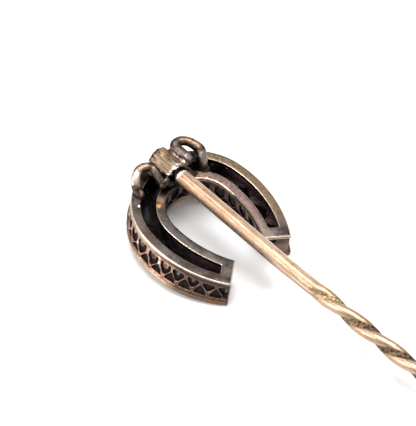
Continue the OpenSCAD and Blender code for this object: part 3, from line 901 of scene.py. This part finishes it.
def heel_wall(name, side):
    """Plain end wall of a limb, standing on the line of the cut heel."""
    u = np.array([math.cos(d2r(SLANT)) * side, -math.sin(d2r(SLANT))])
    nrm = np.array([-math.sin(d2r(SLANT)) * side, -math.cos(d2r(SLANT))])
    base = np.array([0.0, HEEL_Y])
    a = np.array(along(s_end(INNER, WALL_IN, WALL_IN), INNER, WALL_IN)[:2]) * np.array([side, 1])
    b = np.array(along(s_end(OUTER, -WALL_IN, WALL_IN), OUTER, -WALL_IN)[:2]) * np.array([side, 1])
    ta, tb = float((a - base) @ u), float((b - base) @ u)
    edge = [(ta, Z_BOT), (tb, Z_BOT), (tb, Z_TOP), (ta, Z_TOP)]
    loops = [resample(edge, 0.15)]
    profs = [[(-0.03, 0.0, 0.2), (0.0, 0.03, 0.4), (0.0, WALL_T, 0.0)]]
    if side > 0:
        c = float((np.array([2.47, -4.82]) - base) @ u)
        hole = [(c + 0.2 * math.cos(t), -0.72 + 0.2 * math.sin(t)) for t in np.linspace(2 * math.pi, 0, 25)[:-1]]
        loops.append(np.array(hole))
        profs.append([(-0.02, 0.0, 0.1), (0.0, 0.02, 0.2), (0.0, WALL_T, 0.0)])

    def fn(t, z, d):
        p = base + u * t + nrm * (-WALL_IN - d)
        return (max(p[0], FILED + 0.02 + 0.2 * d) if side > 0 else p[0]), p[1], z

    V, F, W, M = slab(loops, profs, fn, ids=(0, 0, 1))
    return make(name, V, F, [heel_mat, inside_mat], wear=W, mat_ids=M)


def heel_post(k, col):
    # painted shade: darker under the plate, brighter towards the rim
    z = k.xyz.outputs[2]
    top = k.math("MULTIPLY", k.ramp(z, -1.7, -0.8), k.ramp(k.noise(3.0, 4, 0.7, off=(7, 3, 3)), 0.35, 0.6, 0.6, 0.85))
    return k.mix(top, col, lin(44, 37, 34))


heel_mat = metal("heel_metal", lin(110, 92, 80), lin(70, 57, 50), wear=lin(190, 160, 130), rough=(0.36, 0.52), bump=0.6, post=heel_post)
heel_wall("heel_wall_right", 1)
heel_wall("heel_wall_left", -1)

# ---------------------------------------------------------------- front plate and stones
STONE_R, STONE_DROP, STONE_GAP, SEAT_GAP, STONE_N = 1.14, 0.28, 0.36, 0.04, 5
MID = ((YO + YI) / 2 + 0.06, (TOE_R + HOLE_R) / 2 + 0.1, (SIDE_R + HOLE_SR) / 2 + 0.1, (TOE_T + HOLE_T) / 2)
GIRDLE = ZF + 0.26


def stone_places():
    s, out = 0.0, []
    rad = [STONE_R - STONE_DROP * i / STONE_N for i in range(STONE_N + 1)]
    pos = [0.0]
    for i in range(1, STONE_N + 1):
        pos.append(pos[-1] + rad[i - 1] + rad[i] + STONE_GAP)
    for i in range(-STONE_N, STONE_N + 1):
        x, y, _t = along(math.copysign(pos[abs(i)], i) if i else 0.0, MID)
        out.append((x, y, rad[abs(i)], _t))
    return out


RIM_EDGE = [(-0.12, -2.50, 0.0), (-0.03, -2.515, 0.3), (0.0, -2.56, 0.8), (0.005, -2.66, 0.5), (0.0, -2.82, 0.3), (-0.03, -2.9, 0.2), (-0.1, -2.95, 0.0)]
fo = lambda s: flare(s) + 0.03 + 0.012 * math.sin(s * 3.1) + 0.008 * math.sin(s * 7.7 + 1)
outline_f = band_loop(fo, flare_in, 0.0, corner=0.1)
# the right limb's inner corner is filed back
outline_f = [(max(x, FILED), y) if x > 1.0 and y < -3.0 else (x, y) for x, y in outline_f]
seats = []
for x, y, r, _t in stone_places():
    seats.append([(x + (r + SEAT_GAP) * math.cos(a), y + (r + SEAT_GAP) * math.sin(a)) for a in np.linspace(2 * math.pi, 0, 49)[:-1]])
SEAT_EDGE = [(0.0, -2.50, -1.0), (0.0, -2.76, -1.0), (0.11, -2.82, -0.5), (0.13, -2.88, 0.7), (0.09, -2.95, 0.3)]
V, F, W, M = slab([outline_f] + seats, [RIM_EDGE] + [SEAT_EDGE] * len(seats), up, fill=grid * 1.02, ids=(1, 0, 0))
front_plate = make("front_plate", V, F, [rim_mat, inside_mat], wear=W, mat_ids=M, smooth=50)


def gem(name, x, y, r, turn, node):
    """Round stone with eight-fold facets: table and crown below, pavilion above."""
    V, F = [], []

    def ring(n, rad, z, ph):
        st = len(V)
        for i in range(n):
            a = turn + ph + 2 * math.pi * i / n
            V.append((x + rad * math.cos(a), y + rad * math.sin(a), z))
        return st

    g = GIRDLE
    table = ring(8, r * 0.56, g - 0.22, math.pi / 8)
    star = ring(8, r * 0.78, g - 0.13, 0)
    gl = ring(16, r * 0.995, g, 0)
    gu = ring(16, r * 0.995, g + 0.05, 0)
    pav = ring(8, r * 0.5, g + 0.05 + r * 0.42, 0)
    cul = len(V)
    V.append((x, y, g + 0.06 + r * 0.84))
    F.append([table + i for i in range(8)])
    for i in range(8):
        j = (i + 1) % 8
        F.append((table + i, table + (i - 1) % 8, star + i))
        F.append((table + i, star + i, star + j))
        F.append((star + i, gl + 2 * i, gl + 2 * i + 1, star + j)) if False else None
        F.append((star + i, gl + (2 * i - 1) % 16, gl + 2 * i))
        F.append((star + i, gl + 2 * i, gl + 2 * i + 1))
        F.append((star + i, gl + 2 * i + 1, star + j))
        F.append((gu + 2 * i, gu + 2 * i + 1, pav + i))
        F.append((gu + (2 * i - 1) % 16, gu + 2 * i, pav + i))
        F.append((gu + 2 * i + 1, pav + j, pav + i))
        F.append((pav + i, pav + j, cul))
    for i in range(16):
        F.append((gl + i, gl + (i + 1) % 16, gu + (i + 1) % 16, gu + i))
    F = [f for f in F if f]
    ob = make(name, V, F, [stone_mat], smooth=4)
    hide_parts(node)
    return ob


for i, (x, y, r, t) in enumerate(stone_places()):
    gem(f"stone_cut_{i + 1}", x, y, r, -t, f"stone_{i + 1}")


# ---------------------------------------------------------------- tube, loops and solder
def spline(pts, n):
    """Catmull-Rom through the rows of pts, n samples."""
    p = np.asarray(pts, float)
    p = np.vstack([2 * p[0] - p[1], p, 2 * p[-1] - p[-2]])
    seg = len(p) - 3
    out = []
    for t in np.linspace(0, seg - 1e-9, n):
        i = int(t)
        u = t - i
        a, b, c, d = p[i], p[i + 1], p[i + 2], p[i + 3]
        out.append(0.5 * ((2 * b) + (-a + c) * u + (2 * a - 5 * b + 4 * c - d) * u * u + (-a + 3 * b - 3 * c + d) * u ** 3))
    return np.array(out)


def ribbon(rows, n=70, m=20, power=2.6):
    """Standing ribbon. rows: x, y, z of its middle, half thickness, half height."""
    c = spline(rows, n)
    V, F = [], []
    for i in range(n):
        t = c[min(i + 1, n - 1), :3] - c[max(i - 1, 0), :3]
        t /= np.linalg.norm(t)
        upv = np.array([0, 0, 1.0])
        if abs(t @ upv) > 0.9:
            upv = np.array([0.3, 0.9, 0.1])
        a = np.cross(t, upv)
        a /= np.linalg.norm(a)
        b = np.cross(a, t)
        for j in range(m):
            th = 2 * math.pi * j / m
            cx, sx = math.cos(th), math.sin(th)
            V.append(c[i, :3] + a * c[i, 3] * math.copysign(abs(cx) ** (2 / power), cx) + b * c[i, 4] * math.copysign(abs(sx) ** (2 / power), sx))
    for i in range(n - 1):
        for j in range(m):
            k = (j + 1) % m
            F.append((i * m + j, i * m + k, (i + 1) * m + k, (i + 1) * m + j))
    F.append(list(range(m))[::-1])
    F.append([(n - 1) * m + j for j in range(m)])
    return V, F


def blob(c, r, n=14):
    V, F = [], []
    for i in range(1, n):
        for j in range(2 * n):
            th, ph = math.pi * i / n, math.pi * j / n
            V.append((c[0] + r[0] * math.sin(th) * math.cos(ph), c[1] + r[1] * math.sin(th) * math.sin(ph), c[2] + r[2] * math.cos(th)))
    for i in range(n - 2):
        for j in range(2 * n):
            k = (j + 1) % (2 * n)
            F.append((i * 2 * n + j, i * 2 * n + k, (i + 1) * 2 * n + k, (i + 1) * 2 * n + j))
    F.append([j for j in range(2 * n)][::-1])
    F.append([(n - 2) * 2 * n + j for j in range(2 * n)])
    return V, F


AX = Vector((math.sin(d2r(YAW)), -math.cos(d2r(YAW)), 0))    # along the stem, towards the bend
MOUTH = Vector((TUBE_X, TUBE_Y, AXIS_Z))


TUBE_AT = Vector((TUBE_X - 0.04, TUBE_Y + 0.3, AXIS_Z))      # middle of the slanted, ragged mouth


def tube_solid():
    """Outer skin of the tube, back end domed, mouth ragged, with its bore."""
    V, F = [], []
    side = Vector((math.cos(d2r(YAW)), math.sin(d2r(YAW)), 0))
    m = 64
    n = TUBE_LEN - 0.3
    prof = [(-n, 0.02), (-n, 0.62), (-n + 0.05, 0.84), (-n + 0.16, 0.95), (-n + 0.34, 0.985), (-n + 1.0, 0.98),
            (-0.8, 0.97), (-0.45, 0.97), (-0.16, 0.98), (-0.06, 0.96), (0.0, 0.9), (-0.01, 0.82), (-0.06, 0.77), (-0.4, 0.76), (-0.9, 0.76), (-0.9, 0.02)]
    for q, r in prof:
        for j in range(m):
            a = 2 * math.pi * j / m
            w = 0.0
            if q > -0.5:
                w = 0.09 * math.sin(3 * a + 0.6) + 0.07 * math.sin(7 * a + 2.0) + 0.05 * math.sin(11 * a)
                w *= (q + 0.5) / 0.5
            w += 0.3 * math.cos(a - 0.15) * max(0.0, (q + 1.3) / 1.3)
            # lengthwise creases of a rolled tube
            crease = 0.028 * math.sin(5 * a + 0.4 + 0.3 * q) + 0.022 * math.sin(9 * a + 1) + 0.014 * math.sin(14 * a + 0.5 * q)
            rr = r * (1 + crease * (1 if r > 0.8 else 0))
            V.append(TUBE_AT + AX * (q + w) + side * rr * math.cos(a) + Vector((0, 0, rr * math.sin(a))))
    for i in range(len(prof) - 1):
        for j in range(m):
            k = (j + 1) % m
            F.append((i * m + j, i * m + k, (i + 1) * m + k, (i + 1) * m + j))
    F.append(list(range(m))[::-1])
    F.append([(len(prof) - 1) * m + j for j in range(m)])
    return V, F


def rows(table):
    """Table of pixel, height over the back plate, half thickness and half height, as a ribbon's rows."""
    return [(*unproject(u, v, z)[:2], z, t, h) for u, v, z, t, h in table]


right_rows = rows([
    (190.5, 163.6, 0.90, 0.44, 0.50), (185.4, 158.4, 1.15, 0.54, 0.56), (179.8, 153.2, 1.32, 0.54, 0.56), (175.4, 148.2, 1.42, 0.46, 0.50),
    (175.2, 144.4, 1.50, 0.43, 0.46), (179.8, 141.2, 1.53, 0.39, 0.42), (187.0, 141.2, 1.50, 0.37, 0.41), (194.2, 144.6, 1.42, 0.40, 0.44),
    (200.0, 149.4, 1.25, 0.43, 0.47), (202.4, 155.8, 0.98, 0.42, 0.46), (203.2, 162.0, 0.55, 0.38, 0.42), (202.6, 168.0, 0.02, 0.38, 0.34)])
left_rows = rows([
    (164.0, 187.0, 0.50, 0.22, 0.28), (161.0, 181.5, 0.76, 0.34, 0.38), (157.4, 174.5, 0.98, 0.36, 0.42), (153.6, 169.6, 1.14, 0.35, 0.40), (148.2, 166.8, 1.24, 0.35, 0.37),
    (142.4, 167.9, 1.26, 0.38, 0.36), (138.2, 171.7, 1.22, 0.41, 0.37), (135.9, 177.3, 1.10, 0.42, 0.38), (135.6, 183.3, 0.84, 0.43, 0.38),
    (137.2, 189.0, 0.50, 0.43, 0.38), (140.2, 194.0, 0.18, 0.40, 0.32), (142.6, 197.4, -0.06, 0.3, 0.2)])
seam_rows = rows([
    (170.0, 149.5, 1.44, 0.3, 0.32), (174.0, 153.0, 1.44, 0.44, 0.36), (178.0, 157.0, 1.42, 0.46, 0.36), (182.0, 161.0, 1.36, 0.44, 0.36), (185.5, 164.4, 1.24, 0.32, 0.32)])
parts = [tube_solid(), ribbon(right_rows), ribbon(left_rows), ribbon(seam_rows)]
# solder: under the tube, at the loops' ends and over the slot
for c, r in [((TUBE_X, 5.9, 0.12), (0.8, 1.1, 0.34)), (unproject(160, 182, 0.45), (0.36, 0.4, 0.34)), ((1.5, 4.7, 0.2), (0.45, 0.8, 0.6)),
             ((3.05, 4.05, -0.1), (0.5, 0.42, 0.26)), (unproject(140, 197, -0.02), (0.34, 0.34, 0.14)), ((0.5, 4.62, -0.2), (1.2, 0.42, 0.28)),
             ((1.0, 6.6, 0.15), (0.6, 0.5, 0.3)), ((-0.75, 6.5, 0.3), (0.4, 0.5, 0.4)), ((1.9, 4.3, -0.12), (0.5, 0.4, 0.22)),
             (unproject(164, 184, 0.72), (0.34, 0.3, 0.26)), (unproject(169, 182, 0.5), (0.4, 0.24, 0.22)), (unproject(174.5, 180.5, 0.3), (0.32, 0.2, 0.2)),
             (unproject(166, 181, 0.95), (0.42, 0.34, 0.34)), ((1.3, 5.3, 1.3), (0.42, 0.8, 0.5)), ((1.2, 6.1, 1.35), (0.38, 0.7, 0.5)), (unproject(196, 160, 0.1), (0.5, 0.3, 0.3)), (unproject(163, 185.5, 0.7), (0.32, 0.26, 0.26)), (unproject(171, 183.5, 0.55), (0.4, 0.2, 0.24))]:
    parts.append(blob(c, r))
V, F = [], []
for v, f in parts:
    n0 = len(V)
    V += [tuple(q) for q in v]
    F += [[n0 + i for i in g] for g in f]
raw = make("fitting_raw", V, F, [], place=False)
mod = raw.modifiers.new("r", "REMESH")
mod.mode = "VOXEL"
mod.voxel_size = 0.045
mod.adaptivity = 0.0
sm = raw.modifiers.new("s", "SMOOTH")
sm.factor = 0.5
sm.iterations = 3
dg = bpy.context.evaluated_depsgraph_get()
me = bpy.data.meshes.new_from_object(raw.evaluated_get(dg))
bpy.data.objects.remove(raw)
co = np.zeros(len(me.vertices) * 3, np.float64)
me.vertices.foreach_get("co", co)
co = co.reshape(-1, 3)
nn = np.zeros(len(me.vertices) * 3, np.float64)
me.vertices.foreach_get("normal", nn)
nn = nn.reshape(-1, 3)
# hand-made unevenness, strongest round the mouth
w = 0.005 + 0.03 * np.clip(1 - np.abs(co[:, 1] - 4.5) / 0.5, 0, 1)
nz = (0.7 * np.sin(co[:, 0] * 9.1 + 1) * np.sin(co[:, 1] * 8.3) * np.sin(co[:, 2] * 10.7 + 2) + 0.6 * np.sin(co[:, 0] * 21 + co[:, 2] * 17) * np.sin(co[:, 1] * 19 + 1))
co += nn * (w * nz)[:, None]
me.vertices.foreach_set("co", co.reshape(-1))
me.transform(PLACE)
me.polygons.foreach_set("use_smooth", np.ones(len(me.polygons), bool))
me.materials.clear()
me.materials.append(solder_mat)
me.name = "tube_and_loops"
fitting = bpy.data.objects.new("tube_and_loops", me)
bpy.context.scene.collection.objects.link(fitting)
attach(fitting, "root")
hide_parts("setting")


# ---------------------------------------------------------------- stem
def stem_mesh():
    m = 56
    first = AX
    start = MOUTH - AX * (TUBE_LEN - 0.85)
    L1 = (BEND - start).length
    total2 = PLAIN + TURNS * TURN_LEN + SHANK + POINT
    s = [*np.arange(0, L1 + PLAIN - 0.5, 0.2), *np.arange(L1 + PLAIN - 0.5, L1 + PLAIN + TURNS * TURN_LEN + 0.5, 0.08),
         *np.arange(L1 + PLAIN + TURNS * TURN_LEN + 0.5, L1 + total2 - 0.4, 0.3), *np.linspace(L1 + total2 - 0.4, L1 + total2, 8)]
    # left-handed turn
    V, F, G, T = [], [], [], []
    for q in s:
        if q < L1:
            c = start + first * q
            t = first.copy()
        else:
            c = BEND + SECOND * (q - L1)
            t = SECOND.copy()
        e = min(1.0, max(0.0, (q - L1 + 0.8) / 1.6))
        t = (first * (1 - e) + SECOND * e).normalized()
        a = t.cross(Vector((0, 0, 1))).normalized()
        b = a.cross(t)
        z = q - L1 - PLAIN
        tw = 0.0
        on = min(1.0, max(0.0, (z + 0.3) / 1.6)) * min(1.0, max(0.0, (TURNS * TURN_LEN + 0.3 - z) / 1.6))
        on = on * on * (3 - 2 * on)
        ph = TWIST_PH + 2 * math.pi * z / TURN_LEN
        base = STEM_R
        if z > TURNS * TURN_LEN - 1.0:
            k = min(1.0, (z - TURNS * TURN_LEN + 1.0) / 1.5)
            base = STEM_R + (SHANK_R - STEM_R) * k
        zz = z - TURNS * TURN_LEN - SHANK
        if zz > 0:
            k = min(1.0, zz / POINT)
            base = SHANK_R * (1 - k) ** 0.9 + TIP_R * k
            if POINT - zz < 0.1:
                base *= math.sqrt(max(0.02, (POINT - zz) / 0.1))
        for j in range(m):
            th = 2 * math.pi * j / m
            # two lobes: distance of the union of two circles from the axis
            d = th - ph
            c1 = LOBE_OFF * abs(math.cos(d)) + math.sqrt(max(LOBE_R ** 2 - (LOBE_OFF * math.sin(d)) ** 2, 0))
            rr = base * (1 - on) + c1 * 0.97 * on
            notch = math.exp(-((abs(math.cos(d)) / 0.45) ** 2))
            rr -= 0.04 * notch * on
            # drawn wire, not quite round
            rr *= 1 + (1 - on) * (0.013 * math.cos(5 * th + 0.9 + 0.04 * q) + 0.009 * math.cos(8 * th + 2.1 - 0.03 * q) + 0.006 * math.cos(13 * th))
            V.append(c + a * rr * math.cos(th) + b * rr * math.sin(th))
            G.append(on * min(1.0, max(0.0, (0.62 - abs(math.cos(d))) / 0.12)))
            # painted highlights and painted shade along it, by the angle from the side that faces up and back
            f = math.sin(math.atan2(math.sin(th - FACE), math.cos(th - FACE))) if math.cos(th - FACE) > -0.1 else math.copysign(1.0, math.sin(th - FACE))
            away = min(1.0, max(0.0, (zz - 4.5) / 4.5))
            painted_light = float(np.interp(f, TONE_AT, TONE)) * (1 - away) + float(np.interp(f, TONE_AT, TONE_FAR)) * away
            T.append(painted_light * (1 - on))
    n = len(s)
    for i in range(n - 1):
        for j in range(m):
            k = (j + 1) % m
            F.append((i * m + j, i * m + k, (i + 1) * m + k, (i + 1) * m + j))
    F.append(list(range(m))[::-1])
    F.append([(n - 1) * m + j for j in range(m)])
    return V, F, G, T


TWIST_PH = math.pi / 2
FACE = 1.047
# painted light by angle round the stem: above 0 painted lighter, below 0 darker
TONE_AT = [-1.0, -0.9, -0.77, -0.65, -0.52, -0.4, -0.27, -0.15, -0.02, 0.1, 0.22, 0.35, 0.47, 0.6, 0.72, 0.85, 0.97]
TONE = [-0.3, -0.4, 0.3, 0.5, 0.1, -0.6, -0.6, -0.3, -0.45, -0.3, -0.35, -0.3, 0.0, 0.1, 0.1, 0.3, 0.75]
TONE_FAR = [-0.3, 0.05, 0.4, 0.1, -0.6, -0.5, -0.25, -0.4, -0.3, -0.25, -0.3, -0.1, 0.35, 0.2, 0.2, 0.5, 0.85]
V, F, G, T = stem_mesh()
stem = make("stem_pin", V, F, [stem_mat], wear=G, painted_light=T, smooth=60)
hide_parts("stem")

# ---------------------------------------------------------------- floor, light, camera
def floor_material():
    k = Nodes("floor")
    n = k.noise(0.02, 2, 0.5)
    k.put(k.bsdf.inputs["Base Color"], k.mix(n, (0.975, 0.973, 0.97), (0.99, 0.988, 0.985)))
    k.bsdf.inputs["Roughness"].default_value = 0.8
    return k.mat


me = bpy.data.meshes.new("floor")
me.from_pydata([(-3, -3, 0), (3, -3, 0), (3, 3, 0), (-3, 3, 0)], [], [(0, 1, 2, 3)])
floor = bpy.data.objects.new("floor", me)
me.materials.append(floor_material())
bpy.context.scene.collection.objects.link(floor)

world = bpy.data.worlds.new("world")
bpy.context.scene.world = world
world.use_nodes = True
world.node_tree.nodes["Background"].inputs[0].default_value = (1, 1, 1, 1)
world.node_tree.nodes["Background"].inputs[1].default_value = 0.53


def area(name, loc, target, size, power, colour=(1, 1, 1)):
    l = bpy.data.lights.new(name, "AREA")
    l.shape = "RECTANGLE"
    l.size, l.size_y = size
    l.energy = power
    l.color = colour
    o = bpy.data.objects.new(name, l)
    o.location = loc
    o.rotation_euler = (Vector(target) - Vector(loc)).to_track_quat("-Z", "Y").to_euler()
    bpy.context.scene.collection.objects.link(o)
    return o


HC = PLACE @ Vector((0, 0, -1))     # the head's middle
area("key", HC + Vector((0.03, 0.02, 0.38)), HC, (0.26, 0.26), 1.65)
area("right", HC + Vector((0.27, 0.13, 0.06)), HC, (0.22, 0.12), 0.12)
area("side", HC + Vector((-0.26, 0.10, 0.18)), HC, (0.10, 0.16), 0.6)

cam_data = bpy.data.cameras.new("camera")
cam = bpy.data.objects.new("camera", cam_data)
bpy.context.scene.collection.objects.link(cam)
cam_data.sensor_fit = "HORIZONTAL"
cam_data.sensor_width = 36.0
cam_data.lens = 36.0 * 1800.0 / 416.0
cam_data.shift_x = -0.01243
cam_data.shift_y = 0.01142
cam_data.clip_start, cam_data.clip_end = 0.005, 20.0
RT = Matrix.Rotation(TILT, 3, "X")
eye = (RT @ (CAM_R.transposed() @ Vector((0, 0, DIST))) + OFF) * 0.001
cam.matrix_world = Matrix.Translation(eye) @ (RT @ CAM_R.transposed()).to_4x4()
bpy.context.scene.camera = cam
bpy.context.scene.view_settings.view_transform = "Standard"
